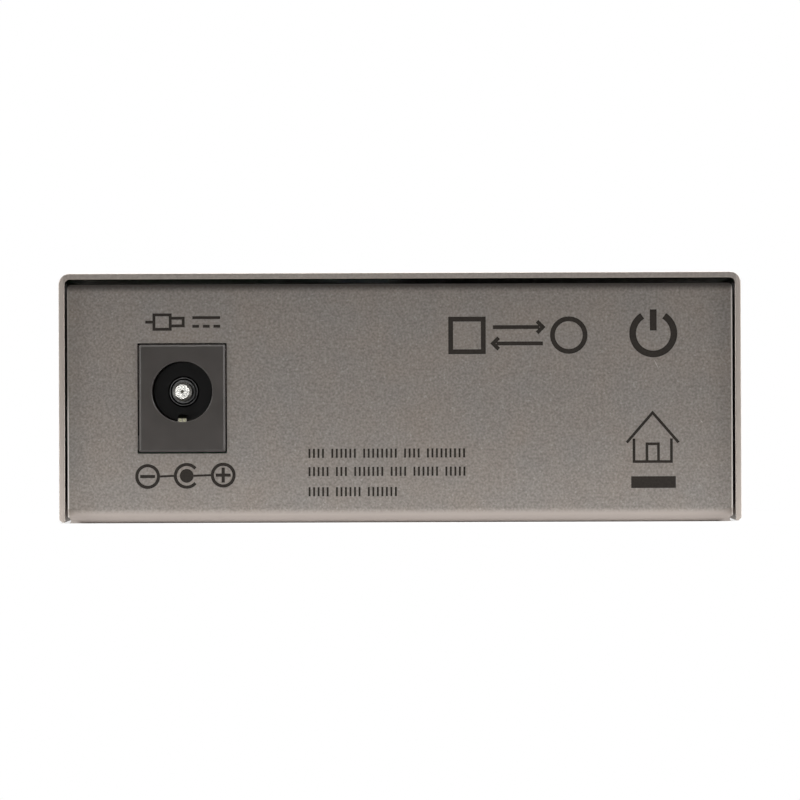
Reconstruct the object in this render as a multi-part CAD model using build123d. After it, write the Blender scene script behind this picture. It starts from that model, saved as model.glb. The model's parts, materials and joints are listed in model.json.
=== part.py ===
from build123d import *
import os

# Fibre media converter: a folded steel case round a circuit board that carries a power jack,
# an Ethernet jack, a duplex fibre transceiver and four indicator lights.
# Frame: millimetres, +Z up, origin at the centre of the underside. The power jack is at the -Y
# end and the network ports at the +Y end, so +X is on the right when the power end is seen.

# Case sheet
CASE_WIDTH = 71.0
CASE_DEPTH = 94.0
CASE_HEIGHT = 26.0
SHEET = 0.6  # steel with its paint
COVER_BEND = 0.55  # inside radius of the cover's two folds
FLOOR_BEND = 0.9  # inside radius of the folds round the floor
END_RECESS = 1.2  # how far each end wall stands inside the cover's edge
SIDE_GAP = 0.27  # between the base's sides and the cover's sides
TOP_GAP = 0.55  # between the end walls and the cover's top
COVER_LIFT = 0.1  # the cover's lower edges above the desk
COVER_CHAMFER = 0.3  # outside of the cover's lower edges
FLANGE_HEIGHT = 6.4  # side flanges folded up from the floor
WALL_CORNER = 0.5  # radius of the end walls' upper corners
BEND_RELIEF = 0.8  # slot that separates neighbouring folds
NOTCH_RADIUS = 0.35  # open corner where floor, wall and cover meet
NOTCH_OUTSET = 0.05
NOTCH_HEIGHT = 0.3
CUTOUT_GAP = 0.15  # between a connector and its hole in an end wall

# Vents in the cover's sides
VENT_COUNT = 9
VENT_PITCH = 4.0
VENT_WIDTH = 1.6
VENT_LENGTH = 9.0
VENT_HEIGHT = 14.5  # middle of the slots above the desk

# Fasteners
COVER_SCREW = 2.4  # shank of the cover's countersunk screws, over the thread
COVER_SCREW_HEAD = 4.6  # its cone is as deep as the cover's sheet
COVER_SCREW_LENGTH = 2.8
COVER_SCREW_HEIGHT = 3.4  # above the desk
THREAD_GAP = 0.03  # between a screw or pin and the hole that holds it
BOARD_SCREW = 2.4
BOARD_SCREW_HEAD = 4.4  # across the flats
BOARD_SCREW_HEAD_HEIGHT = 1.6
BOARD_SCREW_LENGTH = 4.5
STANDOFF_WIDTH = 5.0  # across the flats
STANDOFF_HEIGHT = 5.2
STANDOFF_FOOT = 4.2  # across the flats where it is pressed into the floor

# Circuit board
BOARD = 1.6
BOARD_GAP = 0.6  # to the case all round
HOLE_INSET = 3.4  # fixing holes from the board's edges
HOLE_GAP = 0.2  # round screws and legs that pass through the board
LEG_BELOW = 1.2  # legs that stand out under the board

# Power jack
JACK_MARGIN = 7.45  # from the base's side to the jack
JACK_PROUD = 0.4  # the jack's face outside the end wall
JACK_WIDTH = 9.0
JACK_HEIGHT = 11.2
JACK_LIP = 3.4  # the square block at the front
JACK_BACK = 13.2
JACK_BORE = 6.3
JACK_BORE_HEIGHT = 6.3
JACK_BORE_DEPTH = 10.6
JACK_WALL = 1.1  # round the bore, behind the lip
JACK_BOSS = 3.1  # collar round the foot of the pin
JACK_BOSS_LENGTH = 0.8
JACK_BOSS_WALL = 0.25  # rim round the collar's hollow front
JACK_BOSS_HOLLOW = 0.4
JACK_EDGE = 0.2
PIN = 2.0
PIN_RECESS = 0.8  # the tip inside the jack's face
PIN_TIP = 0.25  # chamfer of the tip
PIN_DIMPLE = 0.18
PIN_ROOT = 1.5  # thinner where the moulding grips it
PIN_ROOT_GAP = 0.2  # the pin's shoulder in front of the collar
PIN_TERMINAL_WIDTH = 2.4
TERMINAL = 0.4  # sheet of the terminals
LEAF_WIDTH = 0.9
LEAF = 0.25  # sheet of the sleeve spring
LEAF_GAP = 0.15
LEAF_FRONT = 0.7  # tip of the spring behind the jack's face
LEAF_RISE = 0.65  # how far the spring stands into the bore
LEAF_APEX = 4.6
LEAF_LEG = 7.6
SWITCH_WIDTH = 0.8
SWITCH_FROM_LEG = 0.7  # switch contact in front of the spring's leg

# Ethernet jack
ETH_PROUD = 0.5
ETH_WIDTH = 16.0
ETH_HEIGHT = 13.4
ETH_DEPTH = 18.0
SHIELD = 0.25
SHIELD_GAP = 0.05  # between the shield and the moulding
SHIELD_LEG = 1.6
SHIELD_LEG_PLACE = 11.0
PORT_WIDTH = 11.9
PORT_HEIGHT = 6.9
PORT_ROOF = 2.4  # from the top of the port to the top of the jack
PORT_DEPTH = 12.0
LATCH_SLOT = (6.4, 1.6)  # step for the plug's latch, under the port
LATCH_NOTCH = (3.4, 1.3)
CONTACT_COUNT = 8
CONTACT_PITCH = 1.02
CONTACT_WIDTH = 0.42
CONTACT = 0.3
CONTACT_GAP = 0.08
CONTACT_LIFT = 0.4  # the contacts' run above the port's top
CONTACT_FRONT = 1.5  # front bend behind the jack's face
CONTACT_REACH = 6.5  # free ends behind the front bend
CONTACT_DROP = 2.6  # free ends under the port's top
CONTACT_ROWS = (13.6, 16.1)  # the two rows of legs, from the jack's face

# Fibre transceiver
FIBRE_PROUD = 0.8
FIBRE_WIDTH = 25.4
FIBRE_HEIGHT = 10.6
FIBRE_DEPTH = 39.5
NOSE_DEPTH = 15.0
NOSE_EDGE = 0.4
SC_WIDTH = 9.1
SC_HEIGHT = 7.5
SC_DEPTH = 13.0
SC_LEAD_IN = 0.4
KEYWAY = (2.4, 0.9)
KEYWAY_DEPTH = 7.0
SLEEVE = 4.7  # tube that takes the fibre's ferrule
SLEEVE_RECESS = 4.8  # its mouth behind the face
FERRULE = 2.5
FERRULE_DEPTH = 8.0
OPTIC_CAN = 5.6
OPTIC_CAN_LENGTH = 5.6
OPTIC_LEAD = 0.45
OPTIC_LEAD_CIRCLE = 2.54
OPTIC_LEAD_LENGTH = 3.0
LATCH_PLATE = 1.0
LATCH_ARM = 0.9
LATCH_ARM_HEIGHT = 4.2
LATCH_ARM_GAP = 0.55  # between an arm and the port's side
LATCH_RECESS = 2.2  # hooks behind the face
LATCH_HOOK = 0.6
LATCH_RAMP = 1.5
SHELL_WALL = 1.0
SHELL_DROP = 0.8  # the rear shell's top under the nose's top
SHELL_EDGE = 0.8
DRIVER_BOARD = 1.0
DRIVER_HEIGHT = 2.8
DRIVER_GAP = 0.2
FIBRE_PIN_COUNT = 9
FIBRE_PIN_INSET = 2.54  # outermost pins from the transceiver's sides
FIBRE_PIN = 0.5
FIBRE_PIN_PLACE = 36.5

# Indicator lights
PIPE = 2.5  # square light pipes
PIPE_PROUD = 0.3  # outside the end wall
PIPE_GAP = 0.06
PIPE_COLUMN = 5.08
PIPE_ROW = 5.0
PIPE_HEIGHT = 4.4  # lower row above the board
PIPE_TURN = 7.0  # back of the lower row behind the wall
PIPE_SPACE = 0.8  # between the two rows where they run down
HOLDER_WALL = 1.3
HOLDER_FRONT = 0.2  # from the end wall
HOLDER_DEPTH = 3.2
LED = (2.0, 1.6, 0.8)
LED_GAP = 0.1

# Parts soldered to the board
CAPACITOR = 6.3
CAPACITOR_HEIGHT = 9.0
INDUCTOR_WIDTH = 7.0
INDUCTOR_HEIGHT = 4.0
INDUCTOR_CORNER = 1.6
REGULATOR = (6.5, 3.5, 1.6)
REGULATOR_TAB = (3.0, 1.7, 0.3)
REGULATOR_LEAD_PITCH = 2.3
CHIP = (14.0, 14.0, 1.2)
MEMORY = (5.0, 4.0, 1.5)
MEMORY_LEAD = (0.4, 1.0, 0.2)
MEMORY_LEAD_COUNT = 4
MEMORY_LEAD_PITCH = 1.27
CRYSTAL = (11.0, 4.6, 3.6)
TRANSFORMER = (12.7, 7.2, 5.8)
PART_EDGE = 0.4  # chamfer round the top of the closed parts
PLACE_GAP = 3.0  # between neighbours on the board

# Sizes that follow from the ones above
base_width = CASE_WIDTH - 2 * (SHEET + SIDE_GAP)
base_depth = CASE_DEPTH - 2 * END_RECESS
wall_top = CASE_HEIGHT - SHEET - TOP_GAP
floor_fold = FLOOR_BEND + SHEET
flange_length = base_depth - 2 * (floor_fold + BEND_RELIEF)
board_width = base_width - 2 * (SHEET + BOARD_GAP)
board_depth = base_depth - 2 * (SHEET + BOARD_GAP)
board_top = SHEET + STANDOFF_HEIGHT + BOARD
leg_end = -BOARD - LEG_BELOW
bore_floor = JACK_BORE_HEIGHT - JACK_BORE / 2
port_top = ETH_HEIGHT - PORT_ROOF
fibre_axis = FIBRE_HEIGHT / 2
fibre_pitch = FIBRE_WIDTH / 2
fibre_pin_pitch = (FIBRE_WIDTH - 2 * FIBRE_PIN_INSET) / (FIBRE_PIN_COUNT - 1)
holder_width = PIPE_COLUMN + PIPE + 2 * HOLDER_WALL
jack_x = -base_width / 2 + JACK_MARGIN + JACK_WIDTH / 2

# The Ethernet jack, the lights and the transceiver stand side by side with even gaps
port_gap = (base_width - ETH_WIDTH - holder_width - FIBRE_WIDTH) / 4
eth_x = -base_width / 2 + port_gap + ETH_WIDTH / 2
light_x = eth_x + ETH_WIDTH / 2 + port_gap + holder_width / 2
fibre_x = base_width / 2 - port_gap - FIBRE_WIDTH / 2

# The board's standoffs: one pair at the power end, one pair behind the transceiver
fibre_back = base_depth / 2 + FIBRE_PROUD - FIBRE_DEPTH
standoff_x = board_width / 2 - HOLE_INSET
standoff_rear = -board_depth / 2 + HOLE_INSET
standoff_middle = fibre_back - HOLE_INSET
standoff_points = [(x, y) for x in (-standoff_x, standoff_x) for y in (standoff_rear, standoff_middle)]

# Each connector is drawn with its face on y = 0, its depth along +Y and the board's top on z = 0
at_jack = Pos(jack_x, -base_depth / 2 - JACK_PROUD, board_top)
at_eth = Pos(eth_x, base_depth / 2 + ETH_PROUD, board_top) * Rot(0, 0, 180)
at_fibre = Pos(fibre_x, base_depth / 2 + FIBRE_PROUD, board_top) * Rot(0, 0, 180)
at_lights = Pos(light_x, base_depth / 2 - SHEET, board_top) * Rot(0, 0, 180)


def along_x(section, start, end):
    """A section drawn as (y, z), from x = start to x = end."""
    return extrude(Plane.YZ.offset(start) * section, amount=end - start)


def along_y(section, start, end):
    """A section drawn as (x, z), from y = start to y = end."""
    return extrude(Plane.XZ.offset(-start) * section, amount=start - end)


def along_z(section, start, end):
    """A section drawn as (x, y), from z = start to z = end."""
    return extrude(Plane.XY.offset(start) * section, amount=end - start)


def rectangle(x0, x1, y0, y1):
    """A rectangle given by its sides."""
    return Pos((x0 + x1) / 2, (y0 + y1) / 2) * Rectangle(x1 - x0, y1 - y0)


def block(x0, x1, y0, y1, z0, z1):
    """A box given by its faces."""
    return along_z(rectangle(x0, x1, y0, y1), z0, z1)


def strip(points, thickness, radius, width):
    """Sheet bent along (y, z) points, width across X."""
    section = trace(FilletPolyline(*points, radius=radius), thickness)
    return along_x(section, -width / 2, width / 2)


def bar(start, end, thickness):
    """A straight run of wire between two points of a plane, squared off round both points."""
    run = Vector(*end) - Vector(*start)
    middle = (Vector(*start) + Vector(*end)) / 2
    turn = Vector(1, 0).get_signed_angle(run)
    return Pos(middle) * Rot(0, 0, turn) * Rectangle(run.length + thickness, thickness)


def row(count, pitch):
    """Evenly spaced places, centred on zero."""
    return [(i - (count - 1) / 2) * pitch for i in range(count)]


def folded_channel(width, leg, inside_radius, length):
    """Sheet folded to a U: web across X on z = 0, legs up along Z, running along Y."""
    outside = rectangle(-width / 2, width / 2, 0, leg)
    outside = fillet(outside.vertices().group_by(Axis.Y)[0], inside_radius + SHEET)
    inside = rectangle(-width / 2 + SHEET, width / 2 - SHEET, SHEET, leg + SHEET)
    inside = fillet(inside.vertices().group_by(Axis.Y)[0], inside_radius)
    return along_y(outside - inside, -length / 2, length / 2)


def cover_screw(clearance=0.0):
    """A countersunk screw along +X, its flush head on x = 0, or the cutter for its hole."""
    shank = COVER_SCREW / 2 + clearance
    head = COVER_SCREW_HEAD / 2 + clearance
    end = COVER_SCREW_LENGTH + clearance
    profile = Polyline((0, 0), (0, head), (SHEET, shank), (end, shank), (end, 0), close=True)
    return revolve(make_face(profile), Axis.X)


def cover_screw_places():
    """One head in the middle of each side of the cover, turned to drive inwards."""
    left = Pos(-CASE_WIDTH / 2, 0, COVER_SCREW_HEIGHT)
    right = Pos(CASE_WIDTH / 2, 0, COVER_SCREW_HEIGHT) * Rot(0, 0, 180)
    return [left, right]


def top_cover():
    """Top and both sides, folded from one sheet, with vents and countersunk screw holes."""
    channel = folded_channel(CASE_WIDTH, CASE_HEIGHT - COVER_LIFT, COVER_BEND, CASE_DEPTH)
    cover = Pos(0, 0, CASE_HEIGHT) * Rot(0, 180, 0) * channel
    lower = cover.edges().filter_by(Axis.Y).group_by(Axis.Z)[0].sort_by(Axis.X)
    cover = chamfer([lower[0], lower[-1]], COVER_CHAMFER)
    vents = [Pos(y, VENT_HEIGHT) * Rectangle(VENT_WIDTH, VENT_LENGTH) for y in row(VENT_COUNT, VENT_PITCH)]
    cover -= [along_x(vent, -CASE_WIDTH, CASE_WIDTH) for vent in vents]
    return cover - [place * cover_screw(THREAD_GAP) for place in cover_screw_places()]


def port_cutouts():
    """Cutters for the holes that the connectors and light pipes pass through."""
    def window(place, width, low, high):
        side = width / 2 + CUTOUT_GAP
        outline = rectangle(-side, side, low - CUTOUT_GAP, high + CUTOUT_GAP)
        return place * along_y(outline, -floor_fold, floor_fold)

    return [
        window(at_jack, JACK_WIDTH, 0, JACK_HEIGHT),
        window(at_eth, ETH_WIDTH, 0, ETH_HEIGHT),
        window(at_fibre, FIBRE_WIDTH, 0, FIBRE_HEIGHT),
        *[window(at_lights * Pos(x, 0, 0), PIPE, z - PIPE / 2, z + PIPE / 2) for x, z in pipe_points()],
    ]


def base_chassis():
    """Floor, end walls and side flanges, folded from one sheet."""
    edge = base_width / 2
    end = base_depth / 2
    ends = Rot(0, 0, 90) * folded_channel(base_depth, wall_top, FLOOR_BEND, base_width)
    ends = fillet(ends.edges().filter_by(Axis.Y).group_by(Axis.Z)[-1], WALL_CORNER)
    slot_end = flange_length / 2 + BEND_RELIEF
    for side in (-1, 1):
        low, high = sorted((side * (edge - floor_fold), side * edge))
        ends -= block(low, high, -slot_end, slot_end, 0, SHEET)
    base = ends + folded_channel(base_width, FLANGE_HEIGHT, FLOOR_BEND, flange_length)
    notch = along_y(Circle(NOTCH_RADIUS), -end, end)
    notch -= block(-edge, edge, floor_fold - end, end - floor_fold, -CASE_HEIGHT, CASE_HEIGHT)
    base -= [Pos(side * (edge + NOTCH_OUTSET), 0, NOTCH_HEIGHT) * notch for side in (-1, 1)]
    base -= port_cutouts()
    base -= [place * cover_screw(THREAD_GAP) for place in cover_screw_places()]
    hole = along_z(hexagon(STANDOFF_FOOT + 2 * THREAD_GAP), 0, SHEET)
    return base - [Pos(x, y) * hole for x, y in standoff_points]


def cover_screws():
    """The two screws that hold the cover."""
    screw = cover_screw()
    return [place * screw for place in cover_screw_places()]


def hexagon(width):
    """A hexagon given across its flats, two of which face along X."""
    return RegularPolygon(width / 2, 6, major_radius=False, rotation=30)


def board_standoffs():
    """Hexagonal standoffs pressed into the floor."""
    standoff = along_z(hexagon(STANDOFF_WIDTH), SHEET, SHEET + STANDOFF_HEIGHT)
    standoff += along_z(hexagon(STANDOFF_FOOT), 0, SHEET)
    depth = BOARD_SCREW_LENGTH + THREAD_GAP - BOARD
    bore = Circle(BOARD_SCREW / 2 + THREAD_GAP)
    standoff -= along_z(bore, SHEET + STANDOFF_HEIGHT - depth, SHEET + STANDOFF_HEIGHT)
    return [Pos(x, y) * standoff for x, y in standoff_points]


def board_screws():
    """Hexagonal-head screws that hold the board on its standoffs."""
    screw = along_z(hexagon(BOARD_SCREW_HEAD), board_top, board_top + BOARD_SCREW_HEAD_HEIGHT)
    screw += along_z(Circle(BOARD_SCREW / 2), board_top - BOARD_SCREW_LENGTH, board_top)
    return [Pos(x, y) * screw for x, y in standoff_points]


def leg_hole(x, y, width, depth):
    """Cutter for the board hole round a flat leg."""
    across = width / 2 + HOLE_GAP / 2
    along = depth / 2 + HOLE_GAP / 2
    return block(x - across, x + across, y - along, y + along, -BOARD, 0)


def jack_holes():
    """Board holes under the power jack."""
    return [
        leg_hole(0, JACK_BACK + TERMINAL / 2, PIN_TERMINAL_WIDTH, TERMINAL),
        leg_hole(0, LEAF_LEG, LEAF_WIDTH, LEAF),
        leg_hole(switch_leg_x(), LEAF_LEG - SWITCH_FROM_LEG, LEAF, SWITCH_WIDTH),
    ]


def eth_holes():
    """Board holes under the Ethernet jack."""
    holes = [leg_hole(x, y, CONTACT_WIDTH, CONTACT) for x, y in contact_legs()]
    holes += [leg_hole(x, SHIELD_LEG_PLACE, SHIELD, SHIELD_LEG) for x in row(2, ETH_WIDTH - SHIELD)]
    return holes


def fibre_holes():
    """Board holes under the transceiver."""
    xs = row(FIBRE_PIN_COUNT, fibre_pin_pitch)
    return [leg_hole(x, FIBRE_PIN_PLACE, FIBRE_PIN, FIBRE_PIN) for x in xs]


def circuit_board():
    """The main board, drilled for its screws and for every leg that it carries."""
    board = along_z(Rectangle(board_width, board_depth), board_top - BOARD, board_top)
    for place, holes in ((at_jack, jack_holes()), (at_eth, eth_holes()), (at_fibre, fibre_holes())):
        board -= [place * hole for hole in holes]
    hole = along_z(Circle(BOARD_SCREW / 2 + HOLE_GAP / 2), board_top - BOARD, board_top)
    return board - [Pos(x, y) * hole for x, y in standoff_points]


def dc_jack_housing():
    """Moulding with a square lip, a round-topped barrel and slots for its two springs."""
    lip = block(-JACK_WIDTH / 2, JACK_WIDTH / 2, 0, JACK_LIP, 0, JACK_HEIGHT)
    lip = chamfer(lip.faces().sort_by(Axis.Y)[0].edges(), JACK_EDGE)
    radius = JACK_BORE / 2 + JACK_WALL
    section = rectangle(-radius, radius, 0, JACK_BORE_HEIGHT) + Pos(0, JACK_BORE_HEIGHT) * Circle(radius)
    body = lip + along_y(section, JACK_LIP, JACK_BACK)
    axis = Pos(0, 0, JACK_BORE_HEIGHT)
    body -= axis * along_y(Circle(JACK_BORE / 2), 0, JACK_BORE_DEPTH)
    boss_start = JACK_BORE_DEPTH - JACK_BOSS_LENGTH
    body += axis * along_y(Circle(JACK_BOSS / 2), boss_start, JACK_BORE_DEPTH)
    hollow = Circle(JACK_BOSS / 2 - JACK_BOSS_WALL)
    body -= axis * along_y(hollow, boss_start, boss_start + JACK_BOSS_HOLLOW)
    body -= axis * along_y(Circle(PIN_ROOT / 2 + THREAD_GAP), boss_start, JACK_BACK)
    half = LEAF_WIDTH / 2 + LEAF_GAP
    front = LEAF_FRONT - LEAF - LEAF_GAP / 2
    body -= block(-half, half, front, LEAF_LEG + LEAF + LEAF_GAP, 0, JACK_BORE_HEIGHT - PIN)
    place = LEAF_LEG - SWITCH_FROM_LEG
    reach = SWITCH_WIDTH / 2 + LEAF_GAP
    ceiling = bore_floor + LEAF + LEAF_GAP
    return body - block(-half, JACK_WIDTH, place - reach, place + reach, bore_floor - LEAF_GAP, ceiling)


def dc_jack_centre_pin():
    """Turned pin with a chamfered, centre-drilled tip and a thinner root."""
    axis = Pos(0, 0, JACK_BORE_HEIGHT)
    root_start = JACK_BORE_DEPTH - JACK_BOSS_LENGTH - PIN_ROOT_GAP
    pin = along_y(Circle(PIN / 2), PIN_RECESS, root_start)
    pin = chamfer(pin.edges().group_by(Axis.Y)[0], PIN_TIP)
    root = along_y(Circle(PIN_ROOT / 2), root_start, JACK_BACK)
    dimple = Pos(0, PIN_RECESS + PIN_DIMPLE / 2, 0) * Rot(90, 0, 0) * Cone(0, PIN_DIMPLE, PIN_DIMPLE)
    return axis * (pin - dimple + root)


def dc_jack_pin_terminal():
    """Plate behind the jack that joins the pin's root to the board."""
    half = PIN_TERMINAL_WIDTH / 2
    plate = rectangle(-half, half, leg_end, JACK_BORE_HEIGHT + half)
    return along_y(plate, JACK_BACK, JACK_BACK + TERMINAL)


def dc_jack_sleeve_spring():
    """Leaf that stands into the bore from below and presses on the plug's sleeve."""
    points = [
        (LEAF_FRONT, bore_floor - LEAF),
        (LEAF_FRONT + 2 * LEAF, bore_floor + LEAF_RISE / 2),
        (LEAF_APEX, bore_floor + LEAF_RISE),
        (LEAF_LEG, bore_floor - LEAF_RISE),
        (LEAF_LEG, leg_end),
    ]
    return strip(points, LEAF, LEAF, LEAF_WIDTH)


def switch_leg_x():
    """Where the switch contact's leg runs down, just outside the jack's lip."""
    return JACK_WIDTH / 2 + LEAF


def dc_jack_switch_contact():
    """Bar above the spring's root that opens when a plug presses the spring down."""
    place = LEAF_LEG - SWITCH_FROM_LEG
    outer = switch_leg_x() + LEAF / 2
    y0, y1 = place - SWITCH_WIDTH / 2, place + SWITCH_WIDTH / 2
    bar = block(-LEAF_WIDTH / 2, outer, y0, y1, bore_floor, bore_floor + LEAF)
    return bar + block(outer - LEAF, outer, y0, y1, leg_end, bore_floor + LEAF)


def port_outline(grow=0.0):
    """The plug's opening with the two steps for its latch under it."""
    slot_width, slot_height = LATCH_SLOT
    notch_width, notch_height = LATCH_NOTCH
    floor = port_top - PORT_HEIGHT
    ledge = floor - slot_height
    opening = rectangle(-PORT_WIDTH / 2 - grow, PORT_WIDTH / 2 + grow, floor - grow, port_top + grow)
    opening += rectangle(-slot_width / 2 - grow, slot_width / 2 + grow, ledge - grow, floor)
    low = ledge - notch_height
    opening += rectangle(-notch_width / 2 - grow, notch_width / 2 + grow, low - grow, ledge)
    return opening


def contact_legs():
    """Where each contact's leg meets the board, in two staggered rows."""
    xs = row(CONTACT_COUNT, CONTACT_PITCH)
    return [(x, CONTACT_ROWS[i % 2]) for i, x in enumerate(xs)]


def contact_top():
    """Height of the contacts' run over the port, in the moulding's comb."""
    return port_top + CONTACT + CONTACT_LIFT + CONTACT_GAP


def ethernet_jack_shield():
    """Folded can open underneath, with a window round the port and two legs."""
    half = ETH_WIDTH / 2
    can = block(-half, half, 0, ETH_DEPTH, 0, ETH_HEIGHT)
    can -= block(-half + SHIELD, half - SHIELD, SHIELD, ETH_DEPTH - SHIELD, 0, ETH_HEIGHT - SHIELD)
    can -= along_y(port_outline(SHIELD), 0, SHIELD)
    y0, y1 = SHIELD_LEG_PLACE - SHIELD_LEG / 2, SHIELD_LEG_PLACE + SHIELD_LEG / 2
    legs = [block(x - SHIELD / 2, x + SHIELD / 2, y0, y1, leg_end, 0) for x in row(2, ETH_WIDTH - SHIELD)]
    return can + legs


def ethernet_jack_housing():
    """Moulding inside the shield with the port and the contacts' comb."""
    wall = SHIELD + SHIELD_GAP
    half = ETH_WIDTH / 2 - wall
    body = block(-half, half, wall, ETH_DEPTH - wall, 0, ETH_HEIGHT - wall)
    body -= along_y(port_outline(), 0, PORT_DEPTH)
    gap = CONTACT_WIDTH / 2 + CONTACT_GAP
    reach = CONTACT / 2 + CONTACT_GAP
    roof = contact_top() + reach
    for x, y in contact_legs():
        body -= block(x - gap, x + gap, CONTACT_FRONT - CONTACT, y + reach, port_top, roof)
        body -= block(x - gap, x + gap, y - reach, y + reach, 0, roof)
    return body


def ethernet_jack_contacts():
    """Eight spring wires: up from the board, forward over the port and back down into it."""
    top = contact_top()
    free_end = (CONTACT_FRONT + CONTACT_REACH, port_top - CONTACT_DROP)
    half = CONTACT_WIDTH / 2
    contacts = []
    for x, y in contact_legs():
        foot, corner, front = (y, leg_end), (y, top), (CONTACT_FRONT, top)
        wire = bar(foot, corner, CONTACT) + bar(corner, front, CONTACT) + bar(front, free_end, CONTACT)
        contacts.append(along_x(wire, x - half, x + half))
    return contacts


def fibre_receptacle():
    """Nose with two keyed ports, closed behind but for the sleeves' holes."""
    half = FIBRE_WIDTH / 2
    nose = block(-half, half, 0, NOSE_DEPTH, 0, FIBRE_HEIGHT)
    nose = chamfer(nose.edges().filter_by(Axis.Y).group_by(Axis.Z)[-1], NOSE_EDGE)
    key_width, key_height = KEYWAY
    for x in row(2, fibre_pitch):
        axis = Pos(x, 0, fibre_axis)
        port = along_y(Rectangle(SC_WIDTH, SC_HEIGHT), 0, SC_DEPTH)
        lead_in = Rectangle(SC_WIDTH, SC_HEIGHT)
        mouth = loft([Plane.XZ * offset(lead_in, SC_LEAD_IN, kind=Kind.INTERSECTION),
                      Plane.XZ.offset(-SC_LEAD_IN) * lead_in])
        keyway = rectangle(-key_width / 2, key_width / 2, 0, SC_HEIGHT / 2 + key_height)
        hole = along_y(Circle(SLEEVE / 2 + THREAD_GAP), 0, NOSE_DEPTH)
        nose -= [axis * port, axis * mouth, axis * along_y(keyway, 0, KEYWAY_DEPTH), axis * hole]
    return nose


def fibre_latch():
    """Plate round a sleeve with two hooked arms that hold a fibre plug, about its port's axis."""
    back = SC_DEPTH
    window = SLEEVE + 2 * THREAD_GAP
    plate = Rectangle(SC_WIDTH - 2 * THREAD_GAP, SC_HEIGHT - 2 * THREAD_GAP) - Rectangle(window, window)
    latch = along_y(plate, back - LATCH_PLATE, back)
    outer = SC_WIDTH / 2 - LATCH_ARM_GAP
    inner = outer - LATCH_ARM
    tip = LATCH_RECESS
    arm = make_face(
        Polyline(
            (outer, back - LATCH_PLATE),
            (outer, tip),
            (inner, tip),
            (inner - LATCH_HOOK, tip + LATCH_RAMP),
            (inner, tip + LATCH_RAMP),
            (inner, back - LATCH_PLATE),
            close=True,
        )
    )
    arm = along_z(arm, -LATCH_ARM_HEIGHT / 2, LATCH_ARM_HEIGHT / 2)
    return latch + arm + mirror(arm, Plane.YZ)


def ferrule_sleeve():
    """Tube with the bore for a fibre's ferrule, about its port's axis."""
    tube = along_y(Circle(SLEEVE / 2), SLEEVE_RECESS, NOSE_DEPTH)
    return tube - along_y(Circle(FERRULE / 2), SLEEVE_RECESS, SLEEVE_RECESS + FERRULE_DEPTH)


def optic_can():
    """Metal can of a light source or detector behind its sleeve, with three leads."""
    end = NOSE_DEPTH + OPTIC_CAN_LENGTH
    lead = along_y(Rectangle(OPTIC_LEAD, OPTIC_LEAD), end, end + OPTIC_LEAD_LENGTH)
    can = along_y(Circle(OPTIC_CAN / 2), NOSE_DEPTH, end)
    return can + [Rot(0, turn, 0) * Pos(OPTIC_LEAD_CIRCLE / 2, 0, 0) * lead for turn in (0, 90, 180)]


def fibre_rear_shell():
    """Lid over the optics behind the nose, open underneath and to the front."""
    half = FIBRE_WIDTH / 2
    top = FIBRE_HEIGHT - SHELL_DROP
    shell = block(-half, half, NOSE_DEPTH, FIBRE_DEPTH, 0, top)
    shell = chamfer(shell.faces().sort_by(Axis.Z)[-1].edges().sort_by(Axis.Y)[1:], SHELL_EDGE)
    inner = half - SHELL_WALL
    return shell - block(-inner, inner, NOSE_DEPTH, FIBRE_DEPTH - SHELL_WALL, 0, top - SHELL_WALL)


def fibre_driver_board():
    """Small board under the optics that carries the transceiver's pins."""
    half = FIBRE_WIDTH / 2 - SHELL_WALL - DRIVER_GAP
    front = NOSE_DEPTH + OPTIC_CAN_LENGTH + DRIVER_GAP
    back = FIBRE_DEPTH - SHELL_WALL - DRIVER_GAP
    return block(-half, half, front, back, DRIVER_HEIGHT, DRIVER_HEIGHT + DRIVER_BOARD)


def fibre_pins():
    """Nine square pins from the driver board's underside down through the main board."""
    pin = along_z(Rectangle(FIBRE_PIN, FIBRE_PIN), leg_end, DRIVER_HEIGHT)
    return [Pos(x, FIBRE_PIN_PLACE) * pin for x in row(FIBRE_PIN_COUNT, fibre_pin_pitch)]


def pipe_points():
    """Centres of the four light pipes as (x, z), two rows of two."""
    return [(x, z) for z in (PIPE_HEIGHT, PIPE_HEIGHT + PIPE_ROW) for x in row(2, PIPE_COLUMN)]


def pipe_back(z):
    """How far behind the wall a pipe runs before its leg turns down: the upper row passes the lower."""
    return PIPE_TURN + (PIPE + PIPE_SPACE) * (z - PIPE_HEIGHT) / PIPE_ROW


def light_pipe(x, z):
    """Square clear bar with a mirror face that turns the light of its diode to the wall."""
    low, high = z - PIPE / 2, z + PIPE / 2
    front = -SHEET - PIPE_PROUD
    back = pipe_back(z)
    foot = LED[2] + LED_GAP
    outline = Polyline(
        (front, low),
        (front, high),
        (back - PIPE, high),
        (back, low),
        (back, foot),
        (back - PIPE, foot),
        (back - PIPE, low),
        close=True,
    )
    return along_x(make_face(outline), x - PIPE / 2, x + PIPE / 2)


def light_pipe_holder():
    """Block on the board that holds the four pipes behind the wall."""
    half = holder_width / 2
    top = PIPE_HEIGHT + PIPE_ROW + PIPE / 2 + HOLDER_WALL
    end = HOLDER_FRONT + HOLDER_DEPTH
    holder = block(-half, half, HOLDER_FRONT, end, 0, top)
    side = PIPE + 2 * PIPE_GAP
    return holder - [Pos(x, 0, z) * along_y(Rectangle(side, side), 0, end) for x, z in pipe_points()]


def indicator_leds():
    """Light diodes on the board, one under each pipe's foot."""
    led = Pos(0, 0, LED[2] / 2) * Box(*LED)
    return [Pos(x, pipe_back(z) - PIPE / 2) * led for x, z in pipe_points()]


def capacitor():
    """Electrolytic can, standing on z = 0."""
    return along_z(Circle(CAPACITOR / 2), 0, CAPACITOR_HEIGHT)


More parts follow.
